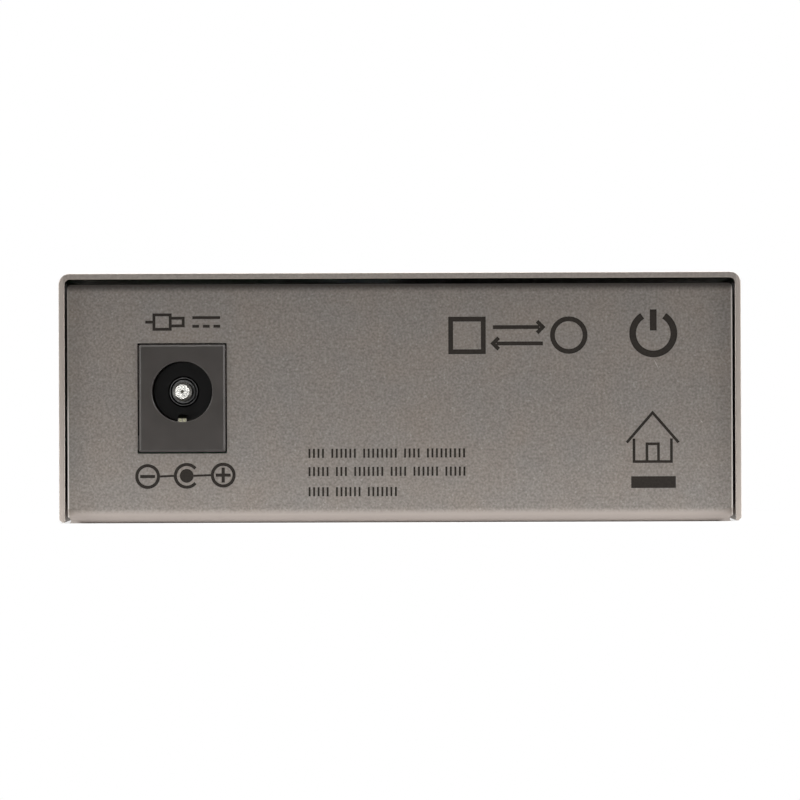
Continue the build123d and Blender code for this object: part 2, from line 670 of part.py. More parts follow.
def power_inductor():
    """Shielded coil: a square block with cut corners."""
    frame = Pos(0, 0, INDUCTOR_HEIGHT / 2) * Box(INDUCTOR_WIDTH, INDUCTOR_WIDTH, INDUCTOR_HEIGHT)
    return chamfer(frame.edges().filter_by(Axis.Z), INDUCTOR_CORNER)


def closed_part(length, width, height):
    """A closed block with a chamfer round its top, standing on z = 0."""
    body = Pos(0, 0, height / 2) * Box(length, width, height)
    return chamfer(body.faces().sort_by(Axis.Z)[-1].edges(), PART_EDGE)


def voltage_regulator():
    """Regulator with a wide heat tab on one side and three leads on the other."""
    width, depth, height = REGULATOR
    tab_width, tab_length, tab = REGULATOR_TAB
    body = Pos(0, 0, height / 2) * Box(width, depth, height)
    body += block(-tab_width / 2, tab_width / 2, 0, depth / 2 + tab_length, 0, tab)
    for x in row(3, REGULATOR_LEAD_PITCH):
        body += block(x - tab, x + tab, -depth / 2 - tab_length, 0, 0, tab)
    return body


def memory_chip():
    """Small memory with four flat leads on each long side, which holds the converter's settings."""
    width, depth, height = MEMORY
    lead_width, lead_length, lead = MEMORY_LEAD
    reach = depth / 2 + lead_length
    chip = Pos(0, 0, height / 2) * Box(width, depth, height)
    for x in row(MEMORY_LEAD_COUNT, MEMORY_LEAD_PITCH):
        chip += block(x - lead_width / 2, x + lead_width / 2, -reach, reach, 0, lead)
    return chip


def spread(widths, start, end):
    """Centres of pieces that share the room from start to end with even gaps."""
    gap = (end - start - sum(widths)) / (len(widths) + 1)
    centres = []
    for width in widths:
        centres.append(start + gap + width / 2)
        start += gap + width
    return centres


def board_parts():
    """Parts soldered to the board: a row for the power, the converter's row and the transformer."""
    power_y = -board_depth / 2 + HOLE_INSET + INDUCTOR_WIDTH / 2
    power_widths = (CAPACITOR, CAPACITOR, INDUCTOR_WIDTH, REGULATOR[0])
    power_xs = spread(power_widths, jack_x + JACK_WIDTH / 2, standoff_x - BOARD_SCREW_HEAD / 2)
    chip_y = power_y + INDUCTOR_WIDTH / 2 + PLACE_GAP + CHIP[1] / 2
    crystal_x = CHIP[0] / 2 + PLACE_GAP + CRYSTAL[1] / 2
    memory_x = -CHIP[0] / 2 - PLACE_GAP - MEMORY[0] / 2
    transformer_y = base_depth / 2 + ETH_PROUD - ETH_DEPTH - PLACE_GAP - TRANSFORMER[1] / 2
    return {
        "input_capacitor": Pos(power_xs[0], power_y) * capacitor(),
        "output_capacitor": Pos(power_xs[1], power_y) * capacitor(),
        "power_inductor": Pos(power_xs[2], power_y) * power_inductor(),
        "voltage_regulator": Pos(power_xs[3], power_y) * voltage_regulator(),
        "converter_chip": Pos(0, chip_y) * closed_part(*CHIP),
        "clock_crystal": Pos(crystal_x, chip_y) * Rot(0, 0, 90) * closed_part(*CRYSTAL),
        "memory_chip": Pos(memory_x, chip_y) * memory_chip(),
        "line_transformer": Pos(eth_x, transformer_y) * closed_part(*TRANSFORMER),
    }


def all_nodes():
    """Every piece by its node's name, in its place."""
    nodes = {
        "base_chassis": base_chassis(),
        "top_cover": top_cover(),
        "cover_screws": cover_screws(),
        "board_standoffs": board_standoffs(),
        "board_screws": board_screws(),
        "circuit_board": circuit_board(),
        "dc_jack_housing": at_jack * dc_jack_housing(),
        "dc_jack_centre_pin": at_jack * dc_jack_centre_pin(),
        "dc_jack_pin_terminal": at_jack * dc_jack_pin_terminal(),
        "dc_jack_sleeve_spring": at_jack * dc_jack_sleeve_spring(),
        "dc_jack_switch_contact": at_jack * dc_jack_switch_contact(),
        "ethernet_jack_shield": at_eth * ethernet_jack_shield(),
        "ethernet_jack_housing": at_eth * ethernet_jack_housing(),
        "ethernet_jack_contacts": [at_eth * contact for contact in ethernet_jack_contacts()],
        "fibre_receptacle": at_fibre * fibre_receptacle(),
        "fibre_rear_shell": at_fibre * fibre_rear_shell(),
        "fibre_driver_board": at_fibre * fibre_driver_board(),
        "fibre_pins": [at_fibre * pin for pin in fibre_pins()],
        "light_pipe_holder": at_lights * light_pipe_holder(),
        "indicator_leds": [at_lights * led for led in indicator_leds()],
    }
    for side, x in zip(("transmit", "receive"), row(2, fibre_pitch)):
        axis = at_fibre * Pos(x, 0, fibre_axis)
        nodes[f"{side}_latch"] = axis * fibre_latch()
        nodes[f"{side}_sleeve"] = axis * ferrule_sleeve()
        nodes[f"{side}_optic_can"] = axis * optic_can()
    for use, (x, z) in zip(("power", "speed", "fibre_link", "copper_link"), pipe_points()):
        nodes[f"{use}_light_pipe"] = at_lights * light_pipe(x, z)
    for name, shape in board_parts().items():
        nodes[name] = Pos(0, 0, board_top) * shape
    return nodes


def main():
    os.makedirs("parts", exist_ok=True)
    for name, shape in all_nodes().items():
        shapes = shape if isinstance(shape, list) else [shape]
        solids = [solid for each in shapes for solid in each.solids()]
        export_step(solids[0] if len(solids) == 1 else Compound(solids), f"parts/{name}.step")


main()
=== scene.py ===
import json
import math

import bmesh
import bpy
from mathutils import Matrix, Vector


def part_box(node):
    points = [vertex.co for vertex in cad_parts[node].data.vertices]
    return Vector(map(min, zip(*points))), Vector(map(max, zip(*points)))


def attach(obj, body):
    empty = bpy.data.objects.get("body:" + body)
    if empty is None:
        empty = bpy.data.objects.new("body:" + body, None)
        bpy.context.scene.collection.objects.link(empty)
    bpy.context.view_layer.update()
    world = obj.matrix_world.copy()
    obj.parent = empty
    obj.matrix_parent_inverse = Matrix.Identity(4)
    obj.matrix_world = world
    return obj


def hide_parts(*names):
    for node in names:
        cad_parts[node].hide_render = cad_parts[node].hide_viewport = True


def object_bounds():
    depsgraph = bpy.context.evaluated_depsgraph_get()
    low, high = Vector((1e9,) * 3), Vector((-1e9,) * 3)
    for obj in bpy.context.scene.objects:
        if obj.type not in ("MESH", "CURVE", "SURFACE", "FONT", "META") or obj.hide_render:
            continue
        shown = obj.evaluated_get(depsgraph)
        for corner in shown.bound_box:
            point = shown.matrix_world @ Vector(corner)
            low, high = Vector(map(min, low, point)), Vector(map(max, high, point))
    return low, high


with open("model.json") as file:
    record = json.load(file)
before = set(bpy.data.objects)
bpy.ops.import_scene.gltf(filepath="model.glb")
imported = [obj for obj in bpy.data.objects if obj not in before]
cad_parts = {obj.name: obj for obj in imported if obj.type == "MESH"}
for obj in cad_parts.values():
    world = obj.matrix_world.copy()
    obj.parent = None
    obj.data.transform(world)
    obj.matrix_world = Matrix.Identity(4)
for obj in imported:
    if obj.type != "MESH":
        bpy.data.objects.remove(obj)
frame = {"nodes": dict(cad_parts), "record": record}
cad_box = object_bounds()

# Fibre media converter, seen at its power end: folded sheet in grey metallic paint, a black power
# jack and small printed marks. Everything is in metres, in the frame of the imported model, but for
# the printed marks, which are drawn in millimetres.
MM = 0.001
nodes = frame["nodes"]
scene = bpy.context.scene

# Camera: straight on the power end
FRAME_PIXELS = 800
PIXELS_PER_MM = 9.61  # at the cover's edge
VIEW_CENTRE_Z = 12.75 * MM
CAMERA_DISTANCE = 1.4  # from the cover's edge
CAMERA_ROLL = math.radians(0.2)
CAMERA_NEAR = 0.01  # the nearest place that it shows
SENSOR = 36.0  # in millimetres, as the lens

# Rounded edges of paint and mouldings
COVER_EDGE = 0.06 * MM
BASE_EDGE = 0.15 * MM
MOULD_EDGE = 0.1 * MM
EDGE_ANGLE = math.radians(35)  # flatter edges stay as they are
EDGE_STEPS = 2
WELD_DISTANCE = 0.0005 * MM

# Where most of a noise's values lie
NOISE_RANGE = (0.3, 0.7)

# Case paint; a relief is its depth and its strength, here and below
PAINT_TONES = (0.258, 0.228, 0.206), (0.412, 0.370, 0.338)
PAINT_WARMTH = (0.955, 0.985, 1.0), (1.0, 0.985, 0.96)
PAINT_ROUGHNESS = 0.34, 0.42
PAINT_METALLIC = 0.8
PAINT_GRAIN = 0.24 * MM
PAINT_CLOUD = 5.0 * MM
PAINT_PEEL = 0.5 * MM
GRAIN_RELIEF = (0.02 * MM, 0.25)
PEEL_RELIEF = (0.03 * MM, 0.2)
FLECK_TONE = (0.56, 0.52, 0.49)
FLECK_SIZE = 0.16 * MM
FLECK_RANGE = (0.965, 0.985)  # of the cells' random greys, so that few are flecks
FLECK_SHARE = 0.3

# Worn paint, painted highlights and painted shade at the sheets' edges, folds and the walls' tops: where
# each starts and is full, from the edge
# Bare cut metal on the cover's ends, lighter along the sides than the top as a painted highlight
CUT_METAL_AND_HIGHLIGHT_TONE = (0.56, 0.495, 0.445)
CUT_ENDS = (0.26 * MM, 0.12 * MM)  # the cover's ends
CUT_SIDES = (0.56 * MM, 0.42 * MM)  # the outer part of its sides
# The top's lower share leaves the sides lighter: a painted highlight
CUT_TOP = 0.35  # how thin it is along the top, against the sides
# Painted highlight: a bright bare-metal tone on the end walls' upright edges, fading going up and ending
# higher towards +X
WALL_HIGHLIGHT_TONE = (0.92, 0.87, 0.82)
WALL_EDGE = (0.18 * MM, 0.08 * MM)  # the end walls' upright edges
# The wear named here is that painted highlight
HIGHLIGHT_HEIGHTS = (17.0 * MM, 22.0 * MM)  # heights in the middle between which their wear ends
HIGHLIGHT_SLOPE = 0.2  # it ends higher towards +X
HIGHLIGHT_LEFT = 0.2  # what is left of it above
# Painted highlight: a lighter tone on the folds under the end walls, where they mirror the floor
FOLD_HIGHLIGHT_TONE = (0.46, 0.405, 0.37)
FOLD_DEPTH = (1.9 * MM, 1.3 * MM)  # the folds under the end walls, from the walls
FOLD_HEIGHT = (0.8 * MM, 1.5 * MM)  # and above the desk
# Painted shade: the end walls' tops darken towards the top, a painted shadow of the cover's lip
LIP_SHADE_TONE = (0.045, 0.038, 0.035)
LIP_EDGE = (0.95 * MM, 0.05 * MM)  # the end walls' tops, under the cover's lip
LIP_SHADE_SHARE = 0.85

# Scratches on the power end: middle across and up, length, turn from level
SCRATCH_TONE = (0.74, 0.69, 0.65)
SCRATCHES = (
    (26.7 * MM, 16.4 * MM, 1.5 * MM, math.radians(64)),
    (31.4 * MM, 10.4 * MM, 0.45 * MM, math.radians(45)),
)
SCRATCH_WIDTH = 0.1 * MM
SCRATCH_REACH = 10.0 * MM  # into the object, short of its other end
SCRATCH_FADE = (0.2, 1.0)  # from the middle to the ends
SCRATCH_SHARE = 0.75

# Mouldings: dark and light tone, roughness, and a grain size and strength where they differ
JACK_BLACK = (0.031, 0.027, 0.024), (0.040, 0.035, 0.032)
JACK_ROUGHNESS = 0.34
PLASTICS = {
    "jack_plastic": (*JACK_BLACK, JACK_ROUGHNESS),
    "fibre_plastic": ((0.016, 0.016, 0.018), (0.024, 0.024, 0.027), 0.4),
    "latch_plastic": ((0.62, 0.60, 0.53), (0.70, 0.68, 0.61), 0.45),
    "ferrite": ((0.055, 0.055, 0.058), (0.085, 0.085, 0.09), 0.62, 0.25 * MM, 0.5),
    "chip_resin": ((0.018, 0.018, 0.019), (0.026, 0.026, 0.028), 0.5),
}
MOULD_GRAIN = 0.12 * MM
MOULD_STRENGTH = 0.3
MOULD_DEPTH = 0.01 * MM
MOULD_CLOUD = 3.0 * MM
CLOUD_RELIEF = (0.02 * MM, 0.2)
MOULD_SPREAD = 0.06  # of the roughness, down and up

# Metals: dark and light tone, roughness, and how far tool marks are drawn out along the axes
METALS = {
    "screw_steel": ((0.30, 0.29, 0.28), (0.38, 0.37, 0.36), 0.32),
    "standoff_brass": ((0.60, 0.45, 0.20), (0.70, 0.54, 0.27), 0.3),
    "contact_nickel": ((0.80, 0.79, 0.74), (0.88, 0.87, 0.83), 0.2),
    "shield_steel": ((0.55, 0.54, 0.52), (0.64, 0.63, 0.61), 0.3, (1, 14, 1)),
    "contact_gold": ((0.80, 0.58, 0.22), (0.88, 0.66, 0.28), 0.22),
    "sleeve_metal": ((0.50, 0.49, 0.47), (0.60, 0.59, 0.57), 0.26),
    "can_aluminium": ((0.66, 0.66, 0.67), (0.74, 0.74, 0.75), 0.32, (1, 1, 10)),
}
METAL_MARKS = 0.08 * MM
METAL_STRENGTH = 0.3
METAL_DEPTH = 0.004 * MM
METAL_CLOUD = 1.5 * MM
METAL_SPREAD = (0.06, 0.08)  # of the roughness, down and up

# Power jack
PIN_NICKEL = (0.86, 0.85, 0.80), (0.92, 0.91, 0.87)
PIN_ROUGHNESS = 0.2
PIN_STRENGTH = 0.03  # of its tool marks
SPRING_BRONZE = (0.12, 0.116, 0.078), (0.15, 0.146, 0.105)
SPRING_ROUGHNESS = 0.36
POLISH = (0.1, 0.1, 0.1)  # roughness of the collar's rim, as a grey
# Painted shade: a darker tone in the pin's dimple
DIMPLE_SHADE_TONE = (0.40, 0.39, 0.35)
# Painted shade: a darker tone along the spring's crease and at its sides
SPRING_SHADE_TONE = (0.10, 0.09, 0.08)
COLLAR_EDGE = (1.58 * MM, 1.64 * MM)  # from the pin's axis
DIMPLE_EDGE = (0.12 * MM, 0.2 * MM)  # from the pin's axis
CREASE_EDGE = (0.03 * MM, 0.09 * MM)  # from the middle of the spring
SPRING_SIDE = (0.36 * MM, 0.43 * MM)  # from the middle of the spring

# Circuit board
BOARD_GREENS = (0.020, 0.120, 0.050, 1.0), (0.018, 0.105, 0.045, 1.0)
BOARD_ROUGHNESS = 0.28, 0.42
TRACK_GREEN = (0.035, 0.190, 0.080, 1.0)
TRACK_UNIT = (9.0 * MM, 1.3 * MM)  # one unit of the texture across and along
TRACK_WIDTH = 0.03  # in such units
TRACK_RELIEF = (0.03 * MM, 0.4)
WEAVE_SIZE = 0.3 * MM
WEAVE_RELIEF = (0.01 * MM, 0.3)

# Light pipes
PIPE_TONES = (0.82, 0.86, 0.83), (0.87, 0.89, 0.87)
PIPE_ROUGHNESS = 0.24, 0.32
PIPE_CLEARNESS = 0.55
PIPE_INDEX = 1.49
FROST_SIZE = 0.3 * MM
FROST_RELIEF = (0.01 * MM, 0.1)

# Cover screws
SCREW_CONE = 0.6 * MM  # depth of the countersunk head
SCREW_SHANK = 1.2 * MM
SCREW_LENGTH = 2.8 * MM
SCREW_RIM = 0.08 * MM
SCREW_TURN = math.radians(25)  # of the left one
RECESS_REACH = 1.4 * MM  # half the cross recess
RECESS_ARM = 0.7 * MM
RECESS_DEPTH = 0.8 * MM
RECESS_TAPER = 0.55  # the recess's floor against its mouth
TURN_STEPS = 64

# Print
INK_TONES = (0.012, 0.009, 0.007), (0.026, 0.021, 0.017)
INK_RANGE = (0.3, 0.75)
INK_ROUGHNESS = 0.5, 0.65
INK_SPECULAR = 0.2
INK_GRAIN = 0.2 * MM
INK_RELIEF = (0.01 * MM, 0.3)
INK_THICKNESS = 0.012 * MM
INK_SINK = 0.004 * MM  # how far the ink reaches into the paint
INK_WELD = 0.001 * MM
ARC_STEPS = 40
MITRE_LIMIT = 0.3  # keeps sharp corners short
SQUARE = ((-1, -1), (1, -1), (1, 1), (-1, 1))

# Floor, as distances from the object's footprint
FLOOR_REACH = 4.0  # from the frame's origin
SHEET_EDGE = (0.012, 0.05)  # where the white sheet greys off
SHEET_WHITE = 0.9
SHEET_GREY = 0.12
SHEET_GLOW = 0.9  # what reflections see of the white
CONTACT_EDGE = (-2.5 * MM, -1.5 * MM)  # where that white goes dark under the object
SHADOW_EDGE = (0.002, 0.03)  # where the view's shadow ends
SHADOW_SHARE = 0.7  # of the white that is drawn at the object

# Light: the world's level, and each lamp's place, side and power
WORLD_LEVEL = 0.32
LAMPS = {
    "overhead": ((0.0, -0.05, 1.1), 0.8, 14.0),
    "left": ((-0.85, -0.4, 0.28), 0.5, 6.0),
    "right": ((0.85, -0.4, 0.28), 0.5, 7.4),
    "behind": ((0.2, 1.0, 0.6), 0.7, 6.0),
    "front": ((-0.045, -1.05, 0.015), 0.05, 0.05),  # mirrored in the pin's tip
}


def new_material(name):
    """A material with a principled shader, its node tree and the object's own coordinates."""
    material = bpy.data.materials.new(name)
    material.use_nodes = True
    tree = material.node_tree
    shader = tree.nodes["Principled BSDF"]
    coordinates = tree.nodes.new("ShaderNodeTexCoord").outputs["Object"]
    return material, tree, shader, coordinates


def noise(tree, coordinates, size, detail, stretch=(1, 1, 1)):
    """Noise whose features are about size metres across, drawn out along the given axes."""
    mapping = tree.nodes.new("ShaderNodeMapping")
    mapping.inputs["Scale"].default_value = [1.0 / (size * each) for each in stretch]
    texture = tree.nodes.new("ShaderNodeTexNoise")
    texture.inputs["Scale"].default_value = 1.0
    texture.inputs["Detail"].default_value = detail
    tree.links.new(coordinates, mapping.inputs["Vector"])
    tree.links.new(mapping.outputs["Vector"], texture.inputs["Vector"])
    return texture.outputs["Fac"]


def cells(tree, coordinates, size):
    """One random grey for each cell of about size metres."""
    texture = tree.nodes.new("ShaderNodeTexVoronoi")
    texture.inputs["Scale"].default_value = 1.0 / size
    separate = tree.nodes.new("ShaderNodeSeparateColor")
    tree.links.new(coordinates, texture.inputs["Vector"])
    tree.links.new(texture.outputs["Color"], separate.inputs["Color"])
    return separate.outputs["Red"]


def ramp(tree, value, first, last, stops=NOISE_RANGE):
    """A colour, or a grey given as a number, that goes from first to last between two values."""
    node = tree.nodes.new("ShaderNodeValToRGB")
    for element, place, colour in zip(node.color_ramp.elements, stops, (first, last)):
        colour = (colour,) * 3 if isinstance(colour, float) else colour
        element.position = place
        element.color = (*colour, 1.0)
    tree.links.new(value, node.inputs["Fac"])
    return node.outputs["Color"]


def blend_colours(tree, factor, first, second, kind="MIX"):
    """Two colours mixed by a factor, which is a number or a texture."""
    node = tree.nodes.new("ShaderNodeMix")
    node.data_type = "RGBA"
    node.blend_type = kind
    if isinstance(factor, float):
        node.inputs["Factor"].default_value = factor
    else:
        tree.links.new(factor, node.inputs["Factor"])
    for source, name in ((first, "A"), (second, "B")):
        socket = next(s for s in node.inputs if s.name == name and s.type == "RGBA")
        if isinstance(source, tuple):
            socket.default_value = (*source, 1.0)
        else:
            tree.links.new(source, socket)
    return next(s for s in node.outputs if s.type == "RGBA")


def bump(tree, shader, heights):
    """Surface relief from (height, depth in metres, strength) layers."""
    normal = None
    for height, depth, strength in heights:
        node = tree.nodes.new("ShaderNodeBump")
        node.inputs["Distance"].default_value = depth
        node.inputs["Strength"].default_value = strength
        tree.links.new(height, node.inputs["Height"])
        if normal is not None:
            tree.links.new(normal, node.inputs["Normal"])
        normal = node.outputs["Normal"]
    tree.links.new(normal, shader.inputs["Normal"])


def vector_step(tree, operation, first, second=None):
    """One step of vector arithmetic; the second term may be a fixed vector."""
    node = tree.nodes.new("ShaderNodeVectorMath")
    node.operation = operation
    tree.links.new(first, node.inputs[0])
    if second is not None:
        node.inputs[1].default_value = second
    return node.outputs["Value" if operation in ("LENGTH", "DOT_PRODUCT") else "Vector"]


def fade(tree, value, start, end, first, last):
    """A number that goes smoothly from first to last as the value goes from start to end."""
    node = tree.nodes.new("ShaderNodeMapRange")
    node.interpolation_type = "SMOOTHSTEP"
    for name, number in (("From Min", start), ("From Max", end), ("To Min", first), ("To Max", last)):
        node.inputs[name].default_value = number
    tree.links.new(value, node.inputs["Value"])
    return node.outputs["Result"]


def combine(tree, operation, first, second):
    """One step of arithmetic on two values."""
    node = tree.nodes.new("ShaderNodeMath")
    node.operation = operation
    tree.links.new(first, node.inputs[0])
    tree.links.new(second, node.inputs[1])
    return node.outputs["Value"]


def along(tree, vector, axis):
    """One component of a vector."""
    parts = tree.nodes.new("ShaderNodeSeparateXYZ")
    tree.links.new(vector, parts.inputs["Vector"])
    return parts.outputs[axis]


def reach(tree, place, axis):
    """Distance from the origin along one axis."""
    return along(tree, vector_step(tree, "ABSOLUTE", place), axis)


def from_middle(tree, place, name):
    """Offset from the middle of a node."""
    low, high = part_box(name)
    return vector_step(tree, "SUBTRACT", place, [(a + b) / 2 for a, b in zip(low, high)])


def pin_distance(tree, place):
    """Distance from the axis of the power jack's pin."""
    offset = from_middle(tree, place, "dc_jack_centre_pin")
    return vector_step(tree, "LENGTH", vector_step(tree, "MULTIPLY", offset, (1.0, 0.0, 1.0)))


def collar_rim(tree, place):
    """1 on the rim of the collar round the pin's foot."""
    return fade(tree, pin_distance(tree, place), *COLLAR_EDGE, 1.0, 0.0)


def pin_dimple_shade(tree, place):
    """1 in the dimple of the pin's tip, where a darker tone paints its shade."""
    return fade(tree, pin_distance(tree, place), *DIMPLE_EDGE, 1.0, 0.0)


def spring_crease_shade(tree, place):
    """1 along the middle of the power jack's spring and at its sides, where a darker tone paints shade in
    its crease and at its sides.
    """
    offset = reach(tree, from_middle(tree, place, "dc_jack_sleeve_spring"), "X")
    crease = fade(tree, offset, *CREASE_EDGE, 1.0, 0.0)
    return combine(tree, "MAXIMUM", crease, fade(tree, offset, *SPRING_SIDE, 0.0, 1.0))


def cover_cut_edges_and_highlights(tree, place):
    """1 on the cover's cut ends, less along the top: bare cut metal, with the sides' extra lightness a
    painted highlight.
    """
    side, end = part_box("top_cover")[1][:2]
    ends = fade(tree, reach(tree, place, "Y"), end - CUT_ENDS[0], end - CUT_ENDS[1], 0.0, 1.0)
    sides = fade(tree, reach(tree, place, "X"), side - CUT_SIDES[0], side - CUT_SIDES[1], CUT_TOP, 1.0)
    return combine(tree, "MULTIPLY", ends, sides)


def wall_edge_highlights(tree, place):
    """1 on the upright edges of the end walls, less towards the top: a painted highlight in a bright
    bare-metal tone.
    """
    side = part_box("base_chassis")[1][0]
    edges = fade(tree, reach(tree, place, "X"), side - WALL_EDGE[0], side - WALL_EDGE[1], 0.0, 1.0)
    height = vector_step(tree, "DOT_PRODUCT", place, (-HIGHLIGHT_SLOPE, 0.0, 1.0))
    return combine(tree, "MULTIPLY", edges, fade(tree, height, *HIGHLIGHT_HEIGHTS, 1.0, HIGHLIGHT_LEFT))


def fold_highlights(tree, place):
    """1 on the folds between the floor and the end walls, where a lighter tone paints their highlight."""
    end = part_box("base_chassis")[1][1]
    ends = fade(tree, reach(tree, place, "Y"), end - FOLD_DEPTH[0], end - FOLD_DEPTH[1], 0.0, 1.0)
    return combine(tree, "MULTIPLY", ends, fade(tree, reach(tree, place, "Z"), *FOLD_HEIGHT, 1.0, 0.0))


def lip_shadow_paint(tree, place):
    """Rises towards the tops of the end walls, where a dark tone paints the shadow of the cover's lip."""
    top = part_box("base_chassis")[1][2]
    return fade(tree, reach(tree, place, "Z"), top - LIP_EDGE[0], top - LIP_EDGE[1], 0.0, LIP_SHADE_SHARE)


def wall_scratch(x, z, length, turn):
    """A mask that rises to the middle line of one fine scratch on the power end."""
    def mask(tree, place):
        mapping = tree.nodes.new("ShaderNodeMapping")
        mapping.vector_type = "TEXTURE"
        mapping.inputs["Location"].default_value = (x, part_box("base_chassis")[0][1], z)
        mapping.inputs["Rotation"].default_value = (0.0, turn, 0.0)
        mapping.inputs["Scale"].default_value = (length / 2, SCRATCH_REACH, SCRATCH_WIDTH / 2)
        tree.links.new(place, mapping.inputs["Vector"])
        offset = vector_step(tree, "LENGTH", mapping.outputs["Vector"])
        return fade(tree, offset, *SCRATCH_FADE, SCRATCH_SHARE, 0.0)
    return mask


def case_paint(name, wear_and_light_places):
    """Brownish grey metallic paint: soft grain, uneven warmth, light flecks, and places of wear, painted
    highlight and painted shade.
    """
    material, tree, shader, place = new_material(name)
    grain = noise(tree, place, PAINT_GRAIN, detail=4.0)
    cloud = noise(tree, place, PAINT_CLOUD, detail=3.0)
    flake = cells(tree, place, FLECK_SIZE)
    warmth = ramp(tree, cloud, *PAINT_WARMTH)
    tone = blend_colours(tree, 1.0, ramp(tree, grain, *PAINT_TONES), warmth, "MULTIPLY")
    fleck = ramp(tree, flake, 0.0, FLECK_SHARE, FLECK_RANGE)
    tone = blend_colours(tree, fleck, tone, FLECK_TONE)
    for marked, colour in wear_and_light_places:
        tone = blend_colours(tree, marked(tree, place), tone, colour)
    tree.links.new(tone, shader.inputs["Base Color"])
    tree.links.new(ramp(tree, grain, *PAINT_ROUGHNESS), shader.inputs["Roughness"])
    shader.inputs["Metallic"].default_value = PAINT_METALLIC
    peel = noise(tree, place, PAINT_PEEL, detail=1.0)
    bump(tree, shader, [(grain, *GRAIN_RELIEF), (peel, *PEEL_RELIEF)])
    return material


def moulded_plastic(
    name, low, high, roughness, grain_size=MOULD_GRAIN, strength=MOULD_STRENGTH, polished=None
):
    """Moulded plastic with a fine spark-eroded grain, slight unevenness and, if given, a polished place."""
    material, tree, shader, place = new_material(name)
    grain = noise(tree, place, grain_size, detail=3.0)
    cloud = noise(tree, place, MOULD_CLOUD, detail=2.0)
    tree.links.new(ramp(tree, cloud, low, high), shader.inputs["Base Color"])
    gloss = ramp(tree, grain, roughness - MOULD_SPREAD, roughness + MOULD_SPREAD)
    if polished:
        gloss = blend_colours(tree, polished(tree, place), gloss, POLISH)
    tree.links.new(gloss, shader.inputs["Roughness"])
    bump(tree, shader, [(grain, MOULD_DEPTH, strength), (cloud, *CLOUD_RELIEF)])
    return material


def plated_metal(
    name, low, high, roughness, stretch=(1, 1, 1), strength=METAL_STRENGTH, painted_shade=None
):
    """Plated or turned metal with fine tool marks and, if given, a place of painted shade and its tone."""
    material, tree, shader, place = new_material(name)
    marks = noise(tree, place, METAL_MARKS, detail=3.0, stretch=stretch)
    cloud = noise(tree, place, METAL_CLOUD, detail=2.0)
    tone = ramp(tree, cloud, low, high)
    if painted_shade:
        shade_mask, colour = painted_shade
        tone = blend_colours(tree, shade_mask(tree, place), tone, colour)
    tree.links.new(tone, shader.inputs["Base Color"])
    gloss = ramp(tree, marks, roughness - METAL_SPREAD[0], roughness + METAL_SPREAD[1])
    tree.links.new(gloss, shader.inputs["Roughness"])
    shader.inputs["Metallic"].default_value = 1.0
    bump(tree, shader, [(marks, METAL_DEPTH, strength)])
    return material


def board_resist():
    """Green solder resist over copper tracks on a glass laminate."""
    material, tree, shader, place = new_material("board_green")
    mapping = tree.nodes.new("ShaderNodeMapping")
    mapping.inputs["Scale"].default_value = (1 / TRACK_UNIT[0], 1 / TRACK_UNIT[1], 0.0)
    tracks = tree.nodes.new("ShaderNodeTexBrick")
    tracks.inputs["Scale"].default_value = 1.0
    tracks.inputs["Mortar Size"].default_value = TRACK_WIDTH
    tracks.inputs["Color1"].default_value = BOARD_GREENS[0]
    tracks.inputs["Color2"].default_value = BOARD_GREENS[1]
    tracks.inputs["Mortar"].default_value = TRACK_GREEN
    tree.links.new(place, mapping.inputs["Vector"])
    tree.links.new(mapping.outputs["Vector"], tracks.inputs["Vector"])
    tree.links.new(tracks.outputs["Color"], shader.inputs["Base Color"])
    weave = noise(tree, place, WEAVE_SIZE, detail=2.0)
    tree.links.new(ramp(tree, weave, *BOARD_ROUGHNESS), shader.inputs["Roughness"])
    bump(tree, shader, [(tracks.outputs["Fac"], *TRACK_RELIEF), (weave, *WEAVE_RELIEF)])
    return material


def clear_pipe():
    """Clear moulding with a lightly frosted face."""
    material, tree, shader, place = new_material("pipe_clear")
    frost = noise(tree, place, FROST_SIZE, detail=2.0)
    tree.links.new(ramp(tree, frost, *PIPE_TONES), shader.inputs["Base Color"])
    tree.links.new(ramp(tree, frost, *PIPE_ROUGHNESS), shader.inputs["Roughness"])
    shader.inputs["Transmission Weight"].default_value = PIPE_CLEARNESS
    shader.inputs["IOR"].default_value = PIPE_INDEX
    bump(tree, shader, [(frost, *FROST_RELIEF)])
    return material


def ink():
    """Dark brown-black screen ink, slightly uneven."""
    material, tree, shader, place = new_material("print_ink")
    grain = noise(tree, place, INK_GRAIN, detail=3.0)
    tree.links.new(ramp(tree, grain, *INK_TONES, INK_RANGE), shader.inputs["Base Color"])
    tree.links.new(ramp(tree, grain, *INK_ROUGHNESS), shader.inputs["Roughness"])
    shader.inputs["Specular IOR Level"].default_value = INK_SPECULAR
    bump(tree, shader, [(grain, *INK_RELIEF)])
    return material


def slot_materials():
    """One material for each slot of the record."""
    metals = {name: plated_metal(name, *look) for name, look in METALS.items()}
    plastics = {name: moulded_plastic(name, *look) for name, look in PLASTICS.items()}
    return metals | plastics | {
        # The cover's cut edges: bare metal, with the sides' extra lightness a painted highlight
        "case_paint": case_paint("case_paint", [(cover_cut_edges_and_highlights, CUT_METAL_AND_HIGHLIGHT_TONE)]),
        "board_green": board_resist(),
        "pipe_clear": clear_pipe(),
    }


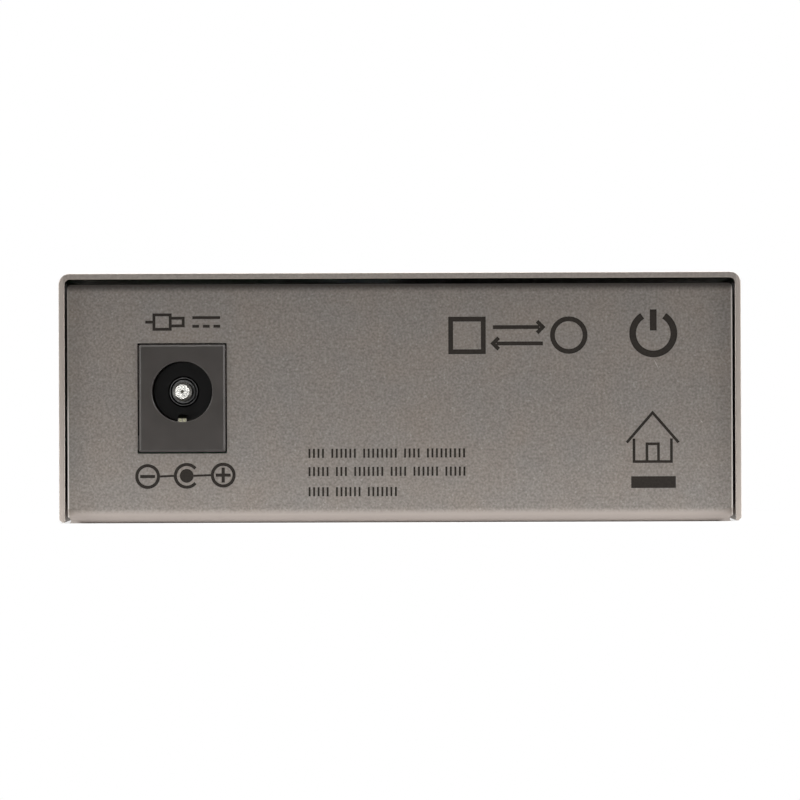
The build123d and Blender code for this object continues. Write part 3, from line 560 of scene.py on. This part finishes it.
def dress_nodes(materials):
    """Each CAD node gets the finish of its slot, or its own variant of it."""
    for part in frame["record"]["subparts"]:
        mesh = nodes[part["node"]].data
        mesh.materials.clear()
        mesh.materials.append(materials[part["material_slot"]])
    # The end walls: painted highlights on the folds and upright edges, painted shade under the lip, and
    # real scratches
    wall_wear_and_light = [(fold_highlights, FOLD_HIGHLIGHT_TONE), (wall_edge_highlights, WALL_HIGHLIGHT_TONE), (lip_shadow_paint, LIP_SHADE_TONE)]
    wall_wear_and_light += [(wall_scratch(*scratch), SCRATCH_TONE) for scratch in SCRATCHES]
    own = {
        "base_chassis": case_paint("base_paint", wall_wear_and_light),
        "dc_jack_housing": moulded_plastic(
            "power_jack_plastic", *JACK_BLACK, JACK_ROUGHNESS, polished=collar_rim),
        # The pin's dimple gets painted shade
        "dc_jack_centre_pin": plated_metal(
            "pin_nickel", *PIN_NICKEL, PIN_ROUGHNESS,
            strength=PIN_STRENGTH, painted_shade=(pin_dimple_shade, DIMPLE_SHADE_TONE)),
    }
    # The spring's crease and sides get painted shade
    spring = plated_metal(
        "spring_bronze", *SPRING_BRONZE, SPRING_ROUGHNESS, painted_shade=(spring_crease_shade, SPRING_SHADE_TONE))
    own |= {"dc_jack_sleeve_spring": spring, "dc_jack_switch_contact": spring}
    for name, material in own.items():
        nodes[name].data.materials[0] = material


def round_edges(name, radius):
    """Rounds the cut edges of a node as its paint or moulding does."""
    node = nodes[name]
    weld = node.modifiers.new("weld", "WELD")
    weld.merge_threshold = WELD_DISTANCE
    edge = node.modifiers.new("edge", "BEVEL")
    edge.width = radius
    edge.segments = EDGE_STEPS
    edge.limit_method = "ANGLE"
    edge.angle_limit = EDGE_ANGLE
    edge.use_clamp_overlap = True
    edge.harden_normals = True


def add_piece(name, shape, material):
    """A piece from a finished bmesh, riding with the case."""
    mesh = bpy.data.meshes.new(name)
    bmesh.ops.recalc_face_normals(shape, faces=shape.faces[:])
    shape.to_mesh(mesh)
    shape.free()
    mesh.materials.append(material)
    piece = bpy.data.objects.new(name, mesh)
    scene.collection.objects.link(piece)
    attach(piece, "root")
    return piece


def ring(shape, x, radius):
    """A ring of points about the X axis."""
    turns = [2 * math.pi * i / TURN_STEPS for i in range(TURN_STEPS)]
    return [shape.verts.new((x, radius * math.cos(t), radius * math.sin(t))) for t in turns]


def join_rings(shape, first, second):
    """Faces between two rings of as many points."""
    count = len(first)
    for i in range(count):
        j = (i + 1) % count
        shape.faces.new((first[i], first[j], second[j], second[i]))


def cross_outline(x, scale):
    """Corners of the cross recess at a depth x."""
    arm, tip = RECESS_ARM / 2 * scale, RECESS_REACH * scale
    corners = []
    for i in range(4):
        turn = Matrix.Rotation(math.pi / 2 * i, 2)
        corners += [turn @ Vector(p) for p in ((arm, arm), (tip, arm), (tip, -arm))]
    order = sorted(corners, key=lambda p: math.atan2(p.y, p.x))
    return [(x, p.x, p.y) for p in order]


def screw_shape(shape, place, head):
    """One countersunk screw with a cross recess, driven along +X of its place."""
    start = len(shape.verts)
    mouth = ring(shape, 0, head - SCREW_RIM)
    rings = [mouth]
    for x, radius in (
        (SCREW_RIM / 2, head),
        (SCREW_CONE, SCREW_SHANK),
        (SCREW_LENGTH - SCREW_SHANK / 2, SCREW_SHANK),
        (SCREW_LENGTH, SCREW_SHANK / 2),
    ):
        rings.append(ring(shape, x, radius))
    for first, second in zip(rings, rings[1:]):
        join_rings(shape, first, second)
    shape.faces.new(rings[-1])
    top = [shape.verts.new(p) for p in cross_outline(0, 1.0)]
    floor = [shape.verts.new(p) for p in cross_outline(RECESS_DEPTH, RECESS_TAPER)]
    join_rings(shape, top, floor)
    shape.faces.new(floor)
    edges = {e for v in mouth for e in v.link_edges if all(w in mouth for w in e.verts)}
    edges |= {e for v in top for e in v.link_edges if all(w in top for w in e.verts)}
    bmesh.ops.triangle_fill(shape, edges=list(edges), use_beauty=True)
    shape.verts.ensure_lookup_table()
    bmesh.ops.transform(shape, matrix=place, verts=shape.verts[start:])


def cover_screws(material):
    """The two cover screws with their cross recesses, in the place of the plain ones."""
    low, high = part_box("cover_screws")
    head = (high[1] - low[1]) / 2
    z = (low[2] + high[2]) / 2
    shape = bmesh.new()
    left = Matrix.Translation((low[0], 0, z)) @ Matrix.Rotation(SCREW_TURN, 4, "X")
    right = Matrix.Translation((high[0], 0, z)) @ Matrix.Rotation(math.pi, 4, "Z")
    screw_shape(shape, left, head)
    screw_shape(shape, right, head)
    piece = add_piece("cover_screws_crosshead", shape, material)
    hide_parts("cover_screws")


def stroke(points, width, closed=False):
    """Faces of a line of even width through (x, z) points, with mitred corners."""
    points = [Vector(p) for p in points]
    count = len(points)
    rims = []
    for i, point in enumerate(points):
        before = points[i - 1] if closed or i > 0 else None
        after = points[(i + 1) % count] if closed or i < count - 1 else None
        runs = []
        if before is not None:
            runs.append((point - before).normalized())
        if after is not None:
            runs.append((after - point).normalized())
        normals = [Vector((-run.y, run.x)) for run in runs]
        normal = sum(normals, Vector((0, 0))).normalized()
        side = normal * (width / 2 / max(normal.dot(normals[0]), MITRE_LIMIT))
        rims.append((point + side, point - side))
    pairs = list(zip(rims, rims[1:]))
    if closed:
        pairs.append((rims[-1], rims[0]))
    return [(a[0], a[1], b[1], b[0]) for a, b in pairs]


def arc(centre, radius, start, end):
    """Points of an arc, angles in degrees."""
    turns = [math.radians(start + (end - start) * i / ARC_STEPS) for i in range(ARC_STEPS + 1)]
    return [(centre[0] + radius * math.cos(t), centre[1] + radius * math.sin(t)) for t in turns]


def circle(centre, radius, width):
    """A drawn circle."""
    return stroke(arc(centre, radius, 0, 360)[:-1], width, closed=True)


def disc(centre, radius):
    """A filled circle."""
    return [tuple(Vector(p) for p in arc(centre, radius, 0, 360)[:-1])]


def field(x0, x1, z0, z1):
    """A filled rectangle."""
    return [tuple(Vector(p) for p in ((x0, z0), (x1, z0), (x1, z1), (x0, z1)))]


def print_mark(name, faces, material):
    """Ink on the power end's wall from flat faces in millimetres across and up."""
    wall_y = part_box("base_chassis")[0].y
    shape = bmesh.new()
    for face in faces:
        corners = [shape.verts.new((p.x * MM, wall_y + INK_SINK, p.y * MM)) for p in face]
        shape.faces.new(corners)
    bmesh.ops.remove_doubles(shape, verts=shape.verts[:], dist=INK_WELD)
    raised = bmesh.ops.extrude_face_region(shape, geom=shape.faces[:])["geom"]
    tops = [v for v in raised if isinstance(v, bmesh.types.BMVert)]
    bmesh.ops.translate(shape, verts=tops, vec=(0, -INK_SINK - INK_THICKNESS, 0))
    add_piece(name, shape, material)


def supply_mark():
    """Over the jack: a barrel plug and the sign for direct current."""
    line, z = 0.3, 20.95
    tail, back, front, tip = -26.5, -25.6, -23.9, -22.55
    grip, barrel = 0.75, 0.4
    left, right, apart = -21.6, -18.7, 0.45
    dash, pitch = 0.7, 1.1
    seat = front + line / 2
    grip_line = [(front, z - grip), (front, z + grip), (back, z + grip), (back, z - grip)]
    barrel_line = [(seat, z + barrel), (tip, z + barrel), (tip, z - barrel), (seat, z - barrel)]
    faces = stroke(grip_line, line, closed=True) + stroke(barrel_line, line)
    faces += stroke([(tail, z), (back - line / 2, z)], line)
    faces += stroke([(left, z + apart), (right, z + apart)], line)
    for i in range(3):
        x = left + pitch * i
        faces += stroke([(x, z - apart), (x + dash, z - apart)], line)
    return faces


def polarity_mark():
    """Plug polarity under the jack, rising slightly: sleeve negative, centre positive."""
    minus_x, minus_z = -26.31, 4.87
    middle_x, middle_z = -22.24, 4.93
    plus_x, plus_z = -18.44, 4.99
    radius, line, sign, lead = 1.13, 0.33, 0.78, 0.22
    sleeve, dot, mouth = 1.18, 0.72, 40
    faces = circle((minus_x, minus_z), radius, line) + circle((plus_x, plus_z), radius, line)
    faces += stroke([(minus_x - sign, minus_z), (minus_x + sign, minus_z)], line)
    faces += stroke([(plus_x - sign, plus_z), (plus_x + sign, plus_z)], line)
    faces += stroke([(plus_x, plus_z - sign), (plus_x, plus_z - line / 2)], line)
    faces += stroke([(plus_x, plus_z + line / 2), (plus_x, plus_z + sign)], line)
    faces += stroke(arc((middle_x, middle_z), sleeve, mouth, 360 - mouth), line)
    faces += disc((middle_x, middle_z), dot)
    minus_end, plus_end = minus_x + radius + line / 2, plus_x - radius - line / 2
    faces += stroke([(minus_end, minus_z), (middle_x - sleeve - line / 2, middle_z)], lead)
    faces += stroke([(middle_x + dot, middle_z), (plus_end, plus_z)], lead)
    return faces


def link_mark():
    """Copper to fibre: a square and a circle with an arrow each way between them."""
    line, thin, z, side = 0.5, 0.4, 19.45, 1.7
    left, right, clear = 7.0, 17.6, 1.0
    apart, head, shy = 0.85, 0.6, 0.36
    square = [(left + a * side, z + b * side) for a, b in SQUARE]
    faces = stroke(square, line, closed=True) + circle((right, z), side, line)
    start, end = left + side + clear, right - side - clear
    for height, tip, tail, way in ((z + apart, end, start, -1), (z - apart, start, end, 1)):
        back = tip + way * head
        faces += stroke([(tail, height), (tip + way * shy, height)], thin)
        faces += stroke([(back, height + head), (tip, height), (back, height - head)], thin)
    return faces


def power_mark():
    """The common sign for power: a broken ring and an upright bar."""
    line, x, z, radius, mouth, foot = 0.7, 26.4, 19.6, 2.15, 32, 0.3
    faces = stroke(arc((x, z), radius, 90 + mouth, 450 - mouth), line)
    return faces + field(x - line / 2, x + line / 2, z + foot, z + radius + line / 2)


def house_mark():
    """Indoor use: the outline of a house."""
    line, x, low = 0.28, 26.3, 6.25
    half, eaves, ridge, overhang, gap = 1.95, 9.1, 11.35, 0.75, 0.45
    door, lintel = 0.6, 8.1
    gutter = eaves - overhang * (ridge - eaves) / half
    top, sill = eaves - gap, low + line / 2
    walls = [(x - half, top), (x - half, low), (x + half, low), (x + half, top)]
    roof = [(x - half - overhang, gutter), (x, ridge), (x + half + overhang, gutter)]
    frame_line = [(x - door, sill), (x - door, lintel), (x + door, lintel), (x + door, sill)]
    return stroke(walls, line) + stroke(roof, line) + stroke(frame_line, line)


def bar_mark():
    """A plain bar under the house."""
    left, right, low, high = 24.05, 28.7, 3.5, 4.72
    return field(left, right, low, high)


def tick_lines():
    """Three lines of even upright ticks in groups, as plain filling."""
    faces = []
    width, pitch, gap, left, height = 0.2, 0.47, 0.5, -9.55, 0.95
    for z, groups in ((6.75, (4, 6, 8, 4, 9)), (4.85, (5, 3, 7, 4, 6, 5)), (2.75, (5, 6, 7))):
        x = left
        for count in groups:
            for _ in range(count):
                faces += field(x, x + width, z, z + height)
                x += pitch
            x += gap
    return faces


def print_marks():
    """Every printed mark on the power end's wall."""
    material = ink()
    marks = {
        "print_supply": supply_mark(),
        "print_polarity": polarity_mark(),
        "print_link": link_mark(),
        "print_power": power_mark(),
        "print_house": house_mark(),
        "print_bar": bar_mark(),
        "print_ticks": tick_lines(),
    }
    for name, faces in marks.items():
        print_mark(name, faces, material)


def footprint(tree):
    """Distance on the floor from the object's footprint, and place across its edge, negative inside."""
    side, end = cad_box[1][:2]
    place = tree.nodes.new("ShaderNodeTexCoord").outputs["Object"]
    outside = vector_step(tree, "SUBTRACT", vector_step(tree, "ABSOLUTE", place), (side, end, 0.0))
    distance = vector_step(tree, "LENGTH", vector_step(tree, "MAXIMUM", outside, (0.0, 0.0, 0.0)))
    return distance, combine(tree, "MAXIMUM", along(tree, outside, "X"), along(tree, outside, "Y"))


def seen_directly(tree):
    """1 for what the view shows by itself or through clear plastic, and all outputs of the light path."""
    path = tree.nodes.new("ShaderNodeLightPath").outputs
    return combine(tree, "MAXIMUM", path["Is Camera Ray"], path["Is Transmission Ray"]), path


def floor_sheet():
    """Pale sheet that greys off round the object; to the view it is white but for a close soft shadow."""
    material = bpy.data.materials.new("floor_white")
    material.use_nodes = True
    tree = material.node_tree
    tree.nodes.remove(tree.nodes["Principled BSDF"])
    distance, edge = footprint(tree)
    diffuse = tree.nodes.new("ShaderNodeBsdfDiffuse")
    tree.links.new(fade(tree, distance, *SHEET_EDGE, SHEET_WHITE, SHEET_GREY), diffuse.inputs["Color"])
    glow = tree.nodes.new("ShaderNodeEmission")
    direct, path = seen_directly(tree)
    seen = combine(tree, "MULTIPLY", direct, fade(tree, distance, *SHADOW_EDGE, SHADOW_SHARE, 1.0))
    sheet = combine(
        tree, "MULTIPLY",
        fade(tree, distance, *SHEET_EDGE, SHEET_GLOW, 0.0), fade(tree, edge, *CONTACT_EDGE, 0.0, 1.0))
    mirrored = combine(tree, "MULTIPLY", path["Is Glossy Ray"], sheet)
    mix = tree.nodes.new("ShaderNodeMixShader")
    tree.links.new(combine(tree, "MAXIMUM", seen, mirrored), mix.inputs["Fac"])
    tree.links.new(diffuse.outputs["BSDF"], mix.inputs[1])
    tree.links.new(glow.outputs["Emission"], mix.inputs[2])
    tree.links.new(mix.outputs["Shader"], tree.nodes["Material Output"].inputs["Surface"])
    return material


def white_floor():
    """A flat floor under the object."""
    mesh = bpy.data.meshes.new("floor")
    mesh.from_pydata([(x * FLOOR_REACH, y * FLOOR_REACH, 0) for x, y in SQUARE], [], [(0, 1, 2, 3)])
    mesh.materials.append(floor_sheet())
    floor = bpy.data.objects.new("floor", mesh)
    scene.collection.objects.link(floor)


def white_world():
    """White behind the object for the view, and a plain level of light from all sides."""
    world = bpy.data.worlds.new("studio")
    scene.world = world
    world.use_nodes = True
    tree = world.node_tree
    light = tree.nodes["Background"]
    light.inputs["Color"].default_value = (1.0, 1.0, 1.0, 1.0)
    light.inputs["Strength"].default_value = WORLD_LEVEL
    white = tree.nodes.new("ShaderNodeBackground")
    white.inputs["Color"].default_value = (1.0, 1.0, 1.0, 1.0)
    mix = tree.nodes.new("ShaderNodeMixShader")
    tree.links.new(seen_directly(tree)[0], mix.inputs["Fac"])
    tree.links.new(light.outputs["Background"], mix.inputs[1])
    tree.links.new(white.outputs["Background"], mix.inputs[2])
    tree.links.new(mix.outputs["Shader"], tree.nodes["World Output"].inputs["Surface"])


def soft_light(name, place, side, power):
    """A square lamp that faces the object."""
    lamp = bpy.data.lights.new(name, "AREA")
    lamp.shape = "SQUARE"
    lamp.size = side
    lamp.energy = power
    light = bpy.data.objects.new(name, lamp)
    scene.collection.objects.link(light)
    light.location = place
    facing = Vector((0, 0, VIEW_CENTRE_Z)) - Vector(place)
    light.rotation_euler = facing.to_track_quat("-Z", "Y").to_euler()


def studio():
    """Floor, world and lamps."""
    white_floor()
    white_world()
    for name, lamp in LAMPS.items():
        soft_light(name, *lamp)


def camera():
    """The photograph's view: straight on the power end, level, with a slight roll."""
    data = bpy.data.cameras.new("camera")
    data.sensor_width = SENSOR
    data.lens = SENSOR * CAMERA_DISTANCE / (FRAME_PIXELS / PIXELS_PER_MM * MM)
    data.clip_start = CAMERA_NEAR
    view = bpy.data.objects.new("camera", data)
    scene.collection.objects.link(view)
    view.location = (0.0, cad_box[0][1] - CAMERA_DISTANCE, VIEW_CENTRE_Z)
    view.rotation_euler = (math.pi / 2, CAMERA_ROLL, 0.0)
    scene.camera = view


materials = slot_materials()
dress_nodes(materials)
round_edges("top_cover", COVER_EDGE)
round_edges("base_chassis", BASE_EDGE)
round_edges("dc_jack_housing", MOULD_EDGE)
cover_screws(materials["screw_steel"])
print_marks()
studio()
camera()
scene.view_settings.view_transform = "Standard"
